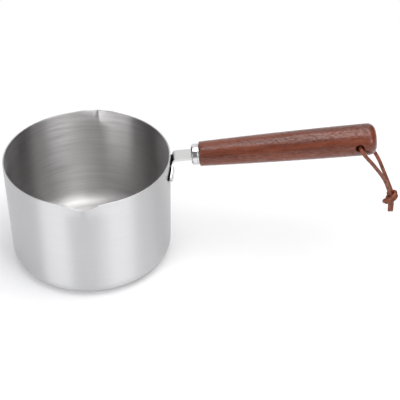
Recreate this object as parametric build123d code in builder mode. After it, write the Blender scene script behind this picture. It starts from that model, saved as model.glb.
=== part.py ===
# Milk pan: drawn steel vessel with two pouring lips, a strap bracket, a steel ferrule,
# a turned wooden handle on a hidden stud, and a knotted leather loop through its end.
# Millimetres, +Z up. The origin is the centre of the flat bottom, the handle points to +X.
from build123d import *

import os
from math import acos, atan, cos, degrees, pi, radians, sin, tan

# Driving dimensions of the vessel
rim_radius = 70.0
pan_height = 96.3
base_wall_radius = 68.8
base_corner_radius = 13.0
sheet = 1.0

# Driving dimensions of the pouring lips
spout_reach = 5.3
spout_depth = 16.0
spout_tip_radius = 5.0
spout_dip = 1.5
spout_dip_half_width = 12.0
front_spout_angle = -89.5
back_spout_angle = 85.5

# Driving dimensions of the strap bracket
strap_width = 14.0
strap_thickness = 2.0
strap_bend_radius = 4.0
weld_seam = 0.05
flange_half_width = 19.0
flange_below_rim = 4.8
flange_flare_height = 8.0
flange_arc_depth = 8.0
flange_corner_radius = 3.0
weld_button_radius = 3.2
weld_button_height = 0.8
weld_button_spacing = 11.0
weld_button_below_corner = 3.0
tongue_width = 8.0

# Driving dimensions of the wooden handle and its axis
handle_standoff = 24.1
handle_above_rim = 0.4
handle_tilt = 5.1
handle_length = 147.8
handle_front_radius = 10.3
handle_middle_radius = 12.45
handle_end_radius = 13.4
shoulder_round = 1.1
butt_bulge = 1.3
butt_round = 7.0
spigot_length = 4.5

# Driving dimensions of the ferrule
ferrule_length = 6.5
ferrule_radius = 9.0
ferrule_wall = 0.8
ferrule_front_wall = 1.2
ferrule_chamfer = 1.2
ferrule_bead = 1.4
ferrule_groove = 0.35

# Driving dimensions of the hidden stud and insert
stud_radius = 3.0
stud_head_radius = 4.4
stud_head_length = 9.7
stud_length = 44.0
insert_radius = 4.5
insert_length = 24.0
thread_clearance = 0.05
slide_clearance = 0.1
bore_clearance = 0.3
bore_end_room = 2.0

# Driving dimensions of the hanging loop
hang_hole_radius = 3.25
hang_hole_to_end = 15.2
hang_hole_round = 0.6
cord_diameter = 3.2
knot_core_radius = 4.6
knot_end_radius = 3.5
knot_end_round = 1.2
knot_core_height = 12.6
knot_wrap_radius = 4.8
knot_wrap_tilt = 26.0
knot_lean = 14.0
tail_length = 10.1
tail_offset = 1.1
tail_gap = 0.1
tail_pair_angle = 44.0
run_share = 0.45

# One overrun for every cut
overrun = 1.0

os.makedirs("parts", exist_ok=True)


def wall_radius(height):
    """Outer radius of the slightly tapered wall at a height above the bottom."""
    return base_wall_radius + (rim_radius - base_wall_radius) * height / pan_height


def save(part, name):
    """Label a finished piece and write it to its own file."""
    part.label = name
    export_step(part, f"parts/{name}.step")


# Handle axis: local x runs along the handle, local y is up, square to it
handle_start_x = rim_radius + handle_standoff
handle_start_z = pan_height + handle_above_rim
handle_direction = Vector(cos(radians(handle_tilt)), 0, sin(radians(handle_tilt)))
handle_start = Vector(handle_start_x, 0, handle_start_z)
handle_side = Plane(origin=handle_start, x_dir=handle_direction, z_dir=(0, -1, 0))
handle_axis = Axis(handle_start, handle_direction)
hang_hole = handle_start + handle_direction * (handle_length - hang_hole_to_end)

# Pan body: a revolved vessel up to where the lips start, then a lofted wall with both lips
spout_start = pan_height - spout_depth
spout_half_angle = degrees(acos(rim_radius / (rim_radius + spout_reach)))
tip_reach_share = (rim_radius * tan(radians(spout_half_angle)) - spout_tip_radius * tan(
    radians(spout_half_angle))) / rim_radius
tip_half_angle = spout_half_angle - degrees(atan(tip_reach_share))


def lipped_outline(radius, tip_radius):
    """Closed outline at the rim: a circle drawn out to a rounded tip at each lip."""
    tip = radius / cos(radians(spout_half_angle))
    for angle in (front_spout_angle, back_spout_angle):
        FilletPolyline(
            Vector(radius, 0).rotate(Axis.Z, angle - spout_half_angle),
            Vector(tip, 0).rotate(Axis.Z, angle),
            Vector(radius, 0).rotate(Axis.Z, angle + spout_half_angle),
            radius=tip_radius,
        )
    for start, end in (
        (front_spout_angle, back_spout_angle),
        (back_spout_angle, front_spout_angle + 360),
    ):
        sweep_angle = end - start - 2 * spout_half_angle
        CenterArc((0, 0), radius, start + spout_half_angle, sweep_angle)


def round_outline(radius):
    """Closed circle, divided where the outline at the rim is."""
    stations = []
    for angle in (front_spout_angle, back_spout_angle):
        for step in (-spout_half_angle, -tip_half_angle, tip_half_angle, spout_half_angle):
            stations.append(angle + step)
    stations.append(stations[0] + 360)
    for start, end in zip(stations, stations[1:]):
        CenterArc((0, 0), radius, start, end - start)


with BuildPart() as pan_body:
    for inset, way in ((0, Mode.ADD), (sheet, Mode.SUBTRACT)):
        with BuildSketch(Plane.XY.offset(spout_start)):
            with BuildLine():
                round_outline(wall_radius(spout_start) - inset)
            make_face()
        with BuildSketch(Plane.XY.offset(pan_height)):
            with BuildLine():
                lipped_outline(rim_radius - inset, spout_tip_radius - inset)
            make_face()
        loft(ruled=True, mode=way)
    with BuildSketch(Plane.XZ):
        with BuildLine():
            outer = FilletPolyline(
                (0, 0),
                (base_wall_radius, 0),
                (wall_radius(spout_start), spout_start),
                radius=base_corner_radius,
            )
            inner = FilletPolyline(
                (0, sheet),
                (wall_radius(sheet) - sheet, sheet),
                (wall_radius(spout_start) - sheet, spout_start),
                radius=base_corner_radius - sheet,
            )
            Line(outer @ 1, inner @ 1)
            Line(inner @ 0, outer @ 0)
        make_face()
    revolve(axis=Axis.Z)
    dip_radius = (spout_dip_half_width**2 + spout_dip**2) / (2 * spout_dip)
    for angle in (front_spout_angle, back_spout_angle):
        lip_way = Vector(1, 0, 0).rotate(Axis.Z, angle)
        lip_plane = Plane(origin=(0, 0, 0), x_dir=Vector(0, 0, 1).cross(lip_way), z_dir=lip_way)
        with BuildSketch(lip_plane.offset(rim_radius - spout_depth)):
            with Locations((0, pan_height - spout_dip + dip_radius)):
                Circle(dip_radius)
        extrude(amount=spout_depth + spout_reach + overrun, mode=Mode.SUBTRACT)
save(pan_body.part, "pan_body")

# Handle bracket: strap on the handle's axis, bent down into a flared flange on the wall
flange_top_height = pan_height - flange_below_rim
flange_corner_height = flange_top_height - flange_flare_height
flange_bottom_height = flange_corner_height - flange_arc_depth
seat_bottom = wall_radius(flange_bottom_height) + weld_seam
seat_top = wall_radius(flange_top_height) + weld_seam
leg_x = seat_top + strap_thickness / 2
bend_middle_radius = strap_bend_radius + strap_thickness / 2
shoulder_end = -spigot_length - slide_clearance
stud_start = -spigot_length + slide_clearance
tongue_end = stud_start + stud_head_length - strap_thickness


def on_axis(along):
    """Point on the handle's axis, in the coordinates of a sketch on Plane.XZ."""
    point = handle_start + handle_direction * along
    return (point.X, point.Z)


def axis_height(x):
    """Height of the handle's axis at a distance from the pan's middle."""
    return handle_start_z + (x - handle_start_x) * tan(radians(handle_tilt))


with BuildPart() as handle_bracket:
    with BuildSketch(Plane.XZ):
        with BuildLine():
            Polyline(
                (seat_bottom, flange_bottom_height),
                (seat_bottom + strap_thickness, flange_bottom_height),
                (seat_top + strap_thickness, flange_top_height),
                (seat_top, flange_top_height),
                close=True,
            )
        make_face()
    revolve(axis=Axis.Z)
    with BuildSketch(Plane.YZ) as flange_outline:
        with BuildLine():
            Polyline(
                (-flange_half_width, flange_corner_height),
                (-strap_width / 2, flange_top_height),
                (strap_width / 2, flange_top_height),
                (flange_half_width, flange_corner_height),
            )
            ThreePointArc(
                (flange_half_width, flange_corner_height),
                (0, flange_bottom_height),
                (-flange_half_width, flange_corner_height),
            )
        make_face()
        for side_corner in (0, -1):
            fillet(flange_outline.vertices().group_by(Axis.X)[side_corner], flange_corner_radius)
    extrude(amount=rim_radius + strap_thickness * 2, mode=Mode.INTERSECT)
    with BuildSketch(Plane.XZ):
        with BuildLine() as strap_line:
            FilletPolyline(
                (leg_x, flange_corner_height),
                (leg_x, axis_height(leg_x)),
                on_axis(shoulder_end),
                radius=bend_middle_radius,
            )
        trace(strap_line.edges(), line_width=strap_thickness)
    extrude(amount=strap_width / 2, both=True)
    with BuildSketch(handle_side):
        with Locations(((shoulder_end + tongue_end) / 2, 0)):
            Rectangle(tongue_end - shoulder_end, strap_thickness)
    extrude(amount=tongue_width / 2, both=True)
    for level_step in (-1, 0, 1):
        button_angle = degrees(level_step * weld_button_spacing / rim_radius)
        button_level = flange_corner_height - weld_button_below_corner
        face_radius = wall_radius(button_level) + weld_seam + strap_thickness
        outward = Vector(1, 0, 0).rotate(Axis.Z, button_angle)
        button_plane = Plane(
            origin=outward * face_radius + Vector(0, 0, button_level),
            x_dir=outward,
            z_dir=outward.cross(Vector(0, 0, 1)),
        )
        with BuildSketch(button_plane):
            with BuildLine():
                Polyline(
                    (weld_button_height, 0),
                    (-strap_thickness / 2, 0),
                    (-strap_thickness / 2, weld_button_radius),
                    (0, weld_button_radius),
                )
                RadiusArc(
                    (0, weld_button_radius),
                    (weld_button_height, 0),
                    (weld_button_radius**2 + weld_button_height**2) / (2 * weld_button_height),
                )
            make_face()
        revolve(axis=Axis(button_plane.origin, outward))
save(handle_bracket.part, "handle_bracket")

# Ferrule: polished cap with a slot for the strap, a chamfered front and a rounded bead behind
with BuildPart() as ferrule:
    with BuildSketch(handle_side):
        with BuildLine():
            groove_start = -2 * ferrule_bead
            Polyline(
                (0, ferrule_radius - ferrule_wall),
                (ferrule_front_wall - ferrule_length, ferrule_radius - ferrule_wall),
                (ferrule_front_wall - ferrule_length, 0),
                (-ferrule_length, 0),
                (-ferrule_length, ferrule_radius - ferrule_chamfer),
                (ferrule_chamfer - ferrule_length, ferrule_radius),
                (groove_start, ferrule_radius),
            )
            RadiusArc(
                (groove_start, ferrule_radius),
                (-ferrule_bead, ferrule_radius),
                -(ferrule_bead**2 / 4 + ferrule_groove**2) / (2 * ferrule_groove),
            )
            Line((-ferrule_bead, ferrule_radius), (0, ferrule_radius))
            Line((0, ferrule_radius), (0, ferrule_radius - ferrule_wall))
        make_face()
    revolve(axis=handle_axis)
    with BuildSketch(handle_side):
        with Locations((-ferrule_length, 0)):
            Rectangle(2 * (ferrule_front_wall + overrun), strap_thickness + 2 * slide_clearance)
    extrude(amount=strap_width / 2 + slide_clearance, both=True, mode=Mode.SUBTRACT)
save(ferrule.part, "ferrule")

# Threaded stud: its slotted head is welded over the strap's tongue
with BuildPart() as threaded_stud:
    with BuildSketch(handle_side):
        with BuildLine():
            head_end = stud_start + stud_head_length
            stud_end = stud_start + stud_length
            Polyline(
                (stud_start, 0),
                (stud_start, stud_head_radius),
                (head_end, stud_head_radius),
                (head_end, stud_radius),
                (stud_end - stud_radius / 2, stud_radius),
                (stud_end, stud_radius / 2),
                (stud_end, 0),
                close=True,
            )
        make_face()
    revolve(axis=handle_axis)
    with BuildSketch(handle_side):
        with Locations((tongue_end / 2, 0)):
            Rectangle(tongue_end + 2 * thread_clearance, strap_thickness + 2 * thread_clearance)
        with Locations((stud_start, 0)):
            Rectangle(2 * spigot_length, strap_thickness + 2 * thread_clearance)
    extrude(amount=stud_head_radius + overrun, both=True, mode=Mode.SUBTRACT)
save(threaded_stud.part, "threaded_stud")

# Threaded insert: brass sleeve seated in the wood behind the stud's head
insert_start = stud_start + stud_head_length + bore_clearance
with BuildPart() as threaded_insert:
    with BuildSketch(handle_side):
        with Locations((insert_start + insert_length / 2, (insert_radius + stud_radius + thread_clearance) / 2)):
            Rectangle(insert_length, insert_radius - stud_radius - thread_clearance)
    revolve(axis=handle_axis)
save(threaded_insert.part, "threaded_insert")

# Wooden handle: turned profile with a spigot, bores for the stud and insert, and a cross hole
spigot_radius = ferrule_radius - ferrule_wall - slide_clearance
insert_end = insert_start + insert_length
bore_end = stud_start + stud_length + bore_end_room
with BuildPart() as wooden_handle:
    with BuildSketch(handle_side) as handle_profile:
        with BuildLine():
            side_end = handle_length - butt_bulge
            ThreePointArc(
                (0, handle_front_radius),
                (handle_length / 2, handle_middle_radius),
                (side_end, handle_end_radius),
            )
            RadiusArc(
                (side_end, handle_end_radius),
                (handle_length, 0),
                (handle_end_radius**2 + butt_bulge**2) / (2 * butt_bulge),
            )
            Polyline(
                (handle_length, 0),
                (-spigot_length, 0),
                (-spigot_length, spigot_radius),
                (0, spigot_radius),
                (0, handle_front_radius),
            )
        make_face()
        for end, corner_round in ((-1, butt_round), (0, shoulder_round)):
            outer_corners = handle_profile.vertices().filter_by(lambda corner: corner.Y > ferrule_radius)
            fillet(outer_corners.sort_by(Axis.X)[end], corner_round)
    revolve(axis=handle_axis)
    with BuildSketch(handle_side):
        with BuildLine():
            Polyline(
                (-spigot_length, 0),
                (-spigot_length, insert_radius + thread_clearance),
                (insert_end, insert_radius + thread_clearance),
                (insert_end, stud_radius + bore_clearance),
                (bore_end, stud_radius + bore_clearance),
                (bore_end, 0),
                close=True,
            )
        make_face()
    revolve(axis=handle_axis, mode=Mode.SUBTRACT)
    with BuildSketch(Plane(origin=hang_hole, z_dir=(0, -1, 0))):
        Circle(hang_hole_radius)
    extrude(amount=handle_end_radius + overrun, both=True, mode=Mode.SUBTRACT)
    hole_edges = wooden_handle.faces().filter_by(GeomType.CYLINDER).filter_by(
        lambda face: abs(face.center().X - hang_hole.X) < hang_hole_radius
    ).edges().filter_by(GeomType.LINE, reverse=True)
    fillet(hole_edges, hang_hole_round)
save(wooden_handle.part, "wooden_handle")

# Leather loop: one cord through the cross hole, whose two strands hang to a knot.
# Points of each strand from the middle of the hole to the knot, counted from the hole's centre.
near_route = [
    (0.8, 0, -0.8),
    (0.8, -7.0, -0.8),
    (0.9, -14.0, -1.0),
    (3.0, -16.5, -3.3),
    (5.7, -16.0, -7.0),
    (11.1, -13.9, -14.9),
    (17.2, -10.8, -25.0),
    (22.7, -7.6, -34.7),
    (27.8, -4.4, -45.1),
    (31.7, -1.8, -54.9),
]
far_route = [
    (0.8, 0, -0.8),
    (0.8, 7.0, -0.8),
    (0.9, 14.0, -1.0),
    (3.0, 16.5, -3.3),
    (5.9, 16.1, -6.9),
    (11.7, 13.9, -14.0),
    (17.5, 10.6, -21.2),
    (21.3, 8.6, -27.6),
    (24.7, 6.85, -33.8),
    (28.5, 4.5, -42.3),
    (31.6, 2.9, -49.2),
    (33.9, 1.9, -54.9),
]
knot_place = (33.2, 0.2, -59.4)


def strand(route, name):
    """Round cord along straight runs and tangent arcs as large as the runs allow."""
    points = [hang_hole + Vector(*point) for point in route]
    runs = [second - first for first, second in zip(points, points[1:])]
    radii = []
    for before, after in zip(runs, runs[1:]):
        shorter = min(before.length, after.length)
        radii.append(run_share * shorter / tan(radians(before.get_angle(after) / 2)))
    with BuildPart() as cord:
        with BuildLine() as centre_line:
            FilletPolyline(*points, radius=radii)
        with BuildSketch(Plane(origin=points[0], z_dir=runs[0])):
            Circle(cord_diameter / 2)
        sweep()
    length = centre_line.wires()[0].length
    section = pi * cord_diameter**2 / 4
    print(name, "runs", [round(run.length, 1) for run in runs])
    print(name, "radii", [round(radius, 1) for radius in radii])
    print(name, "length", round(length, 1), "volume share", round(cord.part.volume / (section * length), 4))
    return cord


loop_near_strand = strand(near_route, "loop_near_strand")
save(loop_near_strand.part, "loop_near_strand")
loop_far_strand = strand(far_route, "loop_far_strand")
save(loop_far_strand.part, "loop_far_strand")

# Knot: a rounded core with two crossing wraps, and the two cut ends of the cord below it
knot_centre = hang_hole + Vector(*knot_place)
knot_plane = Plane(origin=knot_centre).rotated((0, -knot_lean, 0))
with BuildPart() as loop_knot:
    with BuildSketch(Plane(origin=knot_centre, x_dir=knot_plane.z_dir, z_dir=(0, -1, 0))) as core_half:
        with BuildLine():
            ThreePointArc(
                (-knot_core_height / 2, knot_end_radius),
                (0, knot_core_radius),
                (knot_core_height / 2, knot_end_radius),
            )
            Polyline(
                (knot_core_height / 2, knot_end_radius),
                (knot_core_height / 2, 0),
                (-knot_core_height / 2, 0),
                (-knot_core_height / 2, knot_end_radius),
            )
        make_face()
        fillet(core_half.vertices().group_by(Axis.Y)[-1], knot_end_round)
    revolve(axis=Axis(knot_centre, knot_plane.z_dir))
    for tilt in (-knot_wrap_tilt, knot_wrap_tilt):
        with Locations(knot_plane.rotated((0, tilt, 0))):
            Torus(knot_wrap_radius, cord_diameter / 2)
    for side in (-1, 1):
        tail_step = Vector(side * (cord_diameter + tail_gap) / 2, 0, 0).rotate(Axis.Z, tail_pair_angle)
        with BuildSketch(Plane(origin=knot_centre + Vector(tail_offset, 0, 0) + tail_step, z_dir=(0, 0, -1))):
            Circle(cord_diameter / 2)
        extrude(amount=knot_core_height / 2 + tail_length)
save(loop_knot.part, "loop_knot")
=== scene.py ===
"""Studio scene of a milk pan.

A spun steel vessel with two pouring lips carries a strap bracket, a polished ferrule, a turned wooden
handle on a hidden stud, and a knotted leather loop. Every piece is built in metres in the part's frame:
+Z up, the origin in the middle of the flat bottom, the handle towards +X.
"""
import logging
import math
from collections.abc import Callable, Sequence
from dataclasses import dataclass, field
from enum import Enum
from typing import Any

import bmesh
import bpy
from bpy.types import ID, Material, MeshPolygon, Node, NodeSocket, NodeTree, Object
from mathutils import Matrix, Vector


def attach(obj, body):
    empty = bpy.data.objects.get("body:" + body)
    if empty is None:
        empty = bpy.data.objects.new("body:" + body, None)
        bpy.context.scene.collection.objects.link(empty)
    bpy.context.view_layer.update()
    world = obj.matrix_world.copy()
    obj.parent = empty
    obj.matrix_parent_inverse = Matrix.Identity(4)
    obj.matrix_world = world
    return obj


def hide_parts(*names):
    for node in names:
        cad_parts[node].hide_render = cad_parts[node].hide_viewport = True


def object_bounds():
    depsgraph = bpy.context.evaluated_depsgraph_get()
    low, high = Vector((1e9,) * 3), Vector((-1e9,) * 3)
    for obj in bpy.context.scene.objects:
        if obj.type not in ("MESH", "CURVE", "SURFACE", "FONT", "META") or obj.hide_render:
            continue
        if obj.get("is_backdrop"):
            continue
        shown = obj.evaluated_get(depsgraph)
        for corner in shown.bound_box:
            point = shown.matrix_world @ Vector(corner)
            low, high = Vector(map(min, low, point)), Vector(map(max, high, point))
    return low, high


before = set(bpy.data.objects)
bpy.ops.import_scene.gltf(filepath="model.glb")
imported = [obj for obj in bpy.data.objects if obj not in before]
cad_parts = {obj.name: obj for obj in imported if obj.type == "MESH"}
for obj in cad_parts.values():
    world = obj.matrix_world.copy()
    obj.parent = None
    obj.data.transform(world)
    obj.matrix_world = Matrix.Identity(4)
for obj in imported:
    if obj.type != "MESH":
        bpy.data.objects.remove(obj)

Pair = tuple[float, float]
Triple = tuple[float, float, float]
MM = 0.001
PAN = "pan"
LOOP = "loop"
LOG = logging.getLogger("milk_pan")
WHITE = (1.0, 1.0, 1.0, 1.0)
# How many times as long as wide the lines of brushing are, round a spun vessel and a turned pin.
SPUN_DRAW = 20.0
TURNED_DRAW = 10.0
# Angle from which an edge stays sharp.
SHARP = math.radians(38.0)


class Way(Enum):
    """The way a steel surface was finished."""

    SPUN = "spun"
    SATIN = "satin"
    POLISHED = "polished"
    TURNED = "turned"


def linear(code: str) -> tuple[float, float, float, float]:
    """Turn an sRGB hex colour into linear light.

    Args:
        code: Colour such as "#7A4536".

    Returns:
        Linear red, green, blue and an alpha of 1.
    """
    channels = [int(code[place:place + 2], 16) / 255 for place in (1, 3, 5)]
    red, green, blue = (c / 12.92 if c <= 0.04045 else ((c + 0.055) / 1.055) ** 2.4 for c in channels)
    return red, green, blue, 1.0


def add_node(tree: NodeTree, kind: str, inputs: dict[Any, Any] | None = None, **settings: Any) -> Node:
    """Add one node with its settings, values and links.

    Args:
        tree: Node tree that gets the node.
        kind: Node type's identifier.
        inputs: Socket name or number to a value, or to the socket that feeds it.
        **settings: Properties of the node itself.

    Returns:
        The new node.
    """
    node = tree.nodes.new(kind)
    for name, value in settings.items():
        setattr(node, name, value)
    for name, value in (inputs or {}).items():
        if isinstance(value, NodeSocket):
            tree.links.new(value, node.inputs[name])
        else:
            node.inputs[name].default_value = value
    return node


def new_material(name: str) -> tuple[Material, NodeTree]:
    """Make an empty node material.

    Args:
        name: Common name of the real material.

    Returns:
        The material and its node tree.
    """
    material = bpy.data.materials.new(name)
    material.use_nodes = True
    material.node_tree.nodes.clear()
    return material, material.node_tree


@dataclass(frozen=True)
class SteelFinish:
    """Bare metal, told apart by how it was worked.

    Args:
        name: Common name of the finish.
        way: How the surface was finished.
        light: Colour of the crests of the brushing.
        dark: Colour of its grooves.
        roughness: Mean roughness.
        spread: How far the roughness swings between grooves and crests.
        anisotropy: How much a highlight is drawn out across the brushing.
        pitch_mm: Spacing of the brushing lines; real ones are finer, these are as coarse as shows.
        depth_mm: Height of the brushing in the bump.
    """

    name: str
    way: Way
    light: str
    dark: str
    roughness: float
    spread: float
    anisotropy: float
    pitch_mm: float
    depth_mm: float

    def make(self) -> Material:
        """Build the material, with lines that run round the axis on spun and turned surfaces.

        Returns:
            The finish, ready for a piece.
        """
        material, tree = new_material(self.name)
        place = add_node(tree, "ShaderNodeTexCoord").outputs["Object"]
        spacing = [self.pitch_mm] * 3
        if self.way is Way.SPUN:
            # The height plus the radius counts the rings along wall and bottom alike.
            x, y, z = add_node(tree, "ShaderNodeSeparateXYZ", {0: place}).outputs
            flat = add_node(tree, "ShaderNodeCombineXYZ", {0: x, 1: y}).outputs[0]
            radius = add_node(tree, "ShaderNodeVectorMath", {0: flat}, operation="LENGTH").outputs["Value"]
            along = add_node(tree, "ShaderNodeMath", {0: z, 1: radius}, operation="ADD").outputs[0]
            place = add_node(tree, "ShaderNodeCombineXYZ", {0: x, 1: y, 2: along}).outputs[0]
            spacing = [self.pitch_mm * SPUN_DRAW, self.pitch_mm * SPUN_DRAW, self.pitch_mm]
        elif self.way is Way.TURNED:
            spacing = [self.pitch_mm, self.pitch_mm * TURNED_DRAW, self.pitch_mm * TURNED_DRAW]
        stretch = {0: place, 1: [1 / (step * MM) for step in spacing]}
        scaled = add_node(tree, "ShaderNodeVectorMath", stretch, operation="MULTIPLY").outputs[0]
        brushing = {"Vector": scaled, "Scale": 1.0, "Detail": 3.0, "Roughness": 0.6}
        lines = add_node(tree, "ShaderNodeTexNoise", brushing).outputs[0]
        tones = {0: lines, 6: linear(self.dark), 7: linear(self.light)}
        colour = add_node(tree, "ShaderNodeMix", tones, data_type="RGBA").outputs[2]
        swing = {0: lines, 1: 0.3, 2: 0.7, 3: self.roughness - self.spread, 4: self.roughness + self.spread}
        rough = add_node(tree, "ShaderNodeMapRange", swing).outputs[0]
        relief = {"Height": lines, "Distance": self.depth_mm * MM, "Strength": 1.0}
        bump = add_node(tree, "ShaderNodeBump", relief).outputs[0]
        inputs = {"Base Color": colour, "Metallic": 1.0, "Roughness": rough, "Normal": bump}
        if self.anisotropy:
            tangent = add_node(tree, "ShaderNodeTangent", direction_type="RADIAL", axis="Z").outputs[0]
            inputs |= {"Anisotropic": self.anisotropy, "Anisotropic Rotation": 0.25, "Tangent": tangent}
        surface = add_node(tree, "ShaderNodeBsdfPrincipled", inputs).outputs["BSDF"]
        add_node(tree, "ShaderNodeOutputMaterial", {"Surface": surface})
        return material


@dataclass(frozen=True)
class WoodFinish:
    """Close-grained red-brown hardwood, stained and coated with a satin varnish.

    The stain gives a deep red-brown that the fibres streak lighter. The varnish lies thinner over the
    pores, so the long highlight on top is soft, pinkish and broken into flecks. Fibres and pores are
    drawn two to three times as wide as real ones, because real ones are finer than the render shows.

    Args:
        name: Common name of the finish.
        deep: Colour of the dark growth bands.
        mid: Main colour.
        light: Colour of the pale fibres.
        pore: Colour of the open pores.
        tilt_deg: Slope of the grain, which runs along the handle.
    """

    name: str = "varnished hardwood"
    deep: str = "#552313"
    mid: str = "#72331C"
    light: str = "#7D442B"
    pore: str = "#38150C"
    tilt_deg: float = 5.1

    def make(self) -> Material:
        """Build the material: long figure, fine fibres and short pores along the grain.

        Returns:
            The finish, ready for the handle.
        """
        material, tree = new_material(self.name)
        place = add_node(tree, "ShaderNodeTexCoord").outputs["Object"]
        turned = {"Vector": place, "Rotation": (0, math.radians(self.tilt_deg), 0)}
        grain = add_node(tree, "ShaderNodeMapping", turned).outputs[0]
        patterns = []
        # Each is drawn out along the grain: spacing along and across it, in millimetres, and finer layers.
        for along, across, detail in ((70, 7, 2), (9, 1.1, 4), (2.6, 0.6, 1), (2.4, 1.2, 1)):
            stretch = {0: grain, 1: [1 / (step * MM) for step in (along, across, across)]}
            scaled = add_node(tree, "ShaderNodeVectorMath", stretch, operation="MULTIPLY").outputs[0]
            drawn = {"Vector": scaled, "Scale": 1.0, "Detail": detail}
            patterns.append(add_node(tree, "ShaderNodeTexNoise", drawn).outputs[0])
        figure, fibres, pores, flecks = patterns
        # Each takes part of a pattern's range and says what its two ends give.
        bands, pale, open_pores, rough, varnish = (
            add_node(tree, "ShaderNodeMapRange", dict(enumerate(values))).outputs[0]
            for values in (
                (figure, 0.35, 0.65, 0.0, 1.0),
                (fibres, 0.45, 0.75, 0.0, 0.6),
                (pores, 0.6, 0.7, 0.0, 0.7),
                (fibres, 0.3, 0.7, 0.3, 0.42),
                (flecks, 0.4, 0.6, 0.3, 1.0),
            )
        )
        colour = linear(self.deep)
        for share, code in ((bands, self.mid), (pale, self.light), (open_pores, self.pore)):
            tones = {0: share, 6: colour, 7: linear(code)}
            colour = add_node(tree, "ShaderNodeMix", tones, data_type="RGBA").outputs[2]
        height = add_node(tree, "ShaderNodeMath", {0: flecks, 1: open_pores}, operation="SUBTRACT").outputs[0]
        relief = {"Height": height, "Distance": 0.1 * MM, "Strength": 0.6}
        bump = add_node(tree, "ShaderNodeBump", relief).outputs[0]
        inputs = {
            "Base Color": colour,
            "Roughness": rough,
            "Normal": bump,
            "Specular IOR Level": 0.15,
            "Coat Weight": varnish,
            "Coat IOR": 1.55,
            "Coat Roughness": 0.24,
            "Coat Normal": bump,
        }
        surface = add_node(tree, "ShaderNodeBsdfPrincipled", inputs).outputs["BSDF"]
        add_node(tree, "ShaderNodeOutputMaterial", {"Surface": surface})
        return material


@dataclass(frozen=True)
class LeatherFinish:
    """Round cut leather cord, dyed red-brown, dull and a little fibrous.

    The dye sits darker in the creases and is rubbed paler on top, so the cord looks dry and mottled,
    with only a faint shine. Its grain is drawn about twice as coarse as the real one, so that it shows.

    Args:
        name: Common name of the finish.
        deep: Colour of the creases.
        light: Colour of the rubbed surface.
        grit_mm: Size of the grain.
    """

    name: str = "dyed leather cord"
    deep: str = "#3A160A"
    light: str = "#975030"
    grit_mm: float = 0.7

    def make(self) -> Material:
        """Build the material: soft blotches of dye over a fine grain.

        Returns:
            The finish, ready for the cord.
        """
        material, tree = new_material(self.name)
        place = add_node(tree, "ShaderNodeTexCoord").outputs["Object"]
        patterns = []
        # The blotches of dye are five times as wide as the grain.
        for size, detail in ((self.grit_mm, 3.0), (self.grit_mm * 5, 2.0)):
            drawn = {"Vector": place, "Scale": 1 / (size * MM), "Detail": detail}
            patterns.append(add_node(tree, "ShaderNodeTexNoise", drawn).outputs[0])
        grain, blotch = patterns
        both = add_node(tree, "ShaderNodeMath", {0: grain, 1: blotch}, operation="ADD").outputs[0]
        share = add_node(tree, "ShaderNodeMapRange", {0: both, 1: 0.7, 2: 1.3, 3: 0.0, 4: 1.0}).outputs[0]
        tones = {0: share, 6: linear(self.deep), 7: linear(self.light)}
        colour = add_node(tree, "ShaderNodeMix", tones, data_type="RGBA").outputs[2]
        relief = {"Height": grain, "Distance": 0.1 * MM, "Strength": 0.7}
        bump = add_node(tree, "ShaderNodeBump", relief).outputs[0]
        inputs = {"Base Color": colour, "Roughness": 0.5, "Normal": bump, "Specular IOR Level": 0.5}
        surface = add_node(tree, "ShaderNodeBsdfPrincipled", inputs).outputs["BSDF"]
        add_node(tree, "ShaderNodeOutputMaterial", {"Surface": surface})
        return material


# Spun on a lathe: rings finer than a hair draw each highlight out into a soft upright band, and the
# metal looks pale and even between the bands. The rings are drawn 2.4 mm apart, so that they show.
SPUN_STEEL = SteelFinish(
    "spun stainless steel", Way.SPUN, light="#D3D3D4", dark="#CBCBCC",
    roughness=0.36, spread=0.02, anisotropy=0.95, pitch_mm=2.4, depth_mm=0.002,
)
# Scoured round by hand: deeper and more uneven rings give the inside a greyer, streaky shimmer. They are
# drawn 2.2 mm apart, several times as coarse as real scouring marks.
SCOURED_STEEL = SteelFinish(
    "scoured stainless steel", Way.SPUN, light="#DFDDDD", dark="#B9B7B7",
    roughness=0.38, spread=0.06, anisotropy=1.0, pitch_mm=2.2, depth_mm=0.02,
)
# Sheet with a mill's satin finish: an even, almost white grey with no sharp reflection.
SATIN_STEEL = SteelFinish(
    "satin stainless steel", Way.SATIN, light="#D8D8D7", dark="#CECECD",
    roughness=0.3, spread=0.03, anisotropy=0.0, pitch_mm=0.5, depth_mm=0.004,
)
# Painted shade: matt, nearly black steel on the faces in the gap behind the flange, so the gap reads as a
# dark line.
GAP_SHADE_STEEL = SteelFinish(
    "painted gap shade steel", Way.SATIN, light="#34302E", dark="#1E1B1A",
    roughness=0.6, spread=0.05, anisotropy=0.0, pitch_mm=1.0, depth_mm=0.004,
)
# Polished on a wheel: a near mirror, white with a few hard dark blocks.
POLISHED_STEEL = SteelFinish(
    "polished stainless steel", Way.POLISHED, light="#DADADB", dark="#D2D2D3",
    roughness=0.07, spread=0.02, anisotropy=0.0, pitch_mm=2.0, depth_mm=0.0,
)
# Turned and threaded, then left: dull grey rings, hidden in the handle.
TURNED_STEEL = SteelFinish(
    "turned steel", Way.TURNED, light="#C4C4C4", dark="#9C9C9C",
    roughness=0.3, spread=0.08, anisotropy=0.0, pitch_mm=0.5, depth_mm=0.01,
)
# Turned brass: the same rings in a warm yellow, hidden in the wood.
TURNED_BRASS = SteelFinish(
    "turned brass", Way.TURNED, light="#D9B46A", dark="#B98F45",
    roughness=0.25, spread=0.08, anisotropy=0.0, pitch_mm=0.5, depth_mm=0.01,
)


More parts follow.
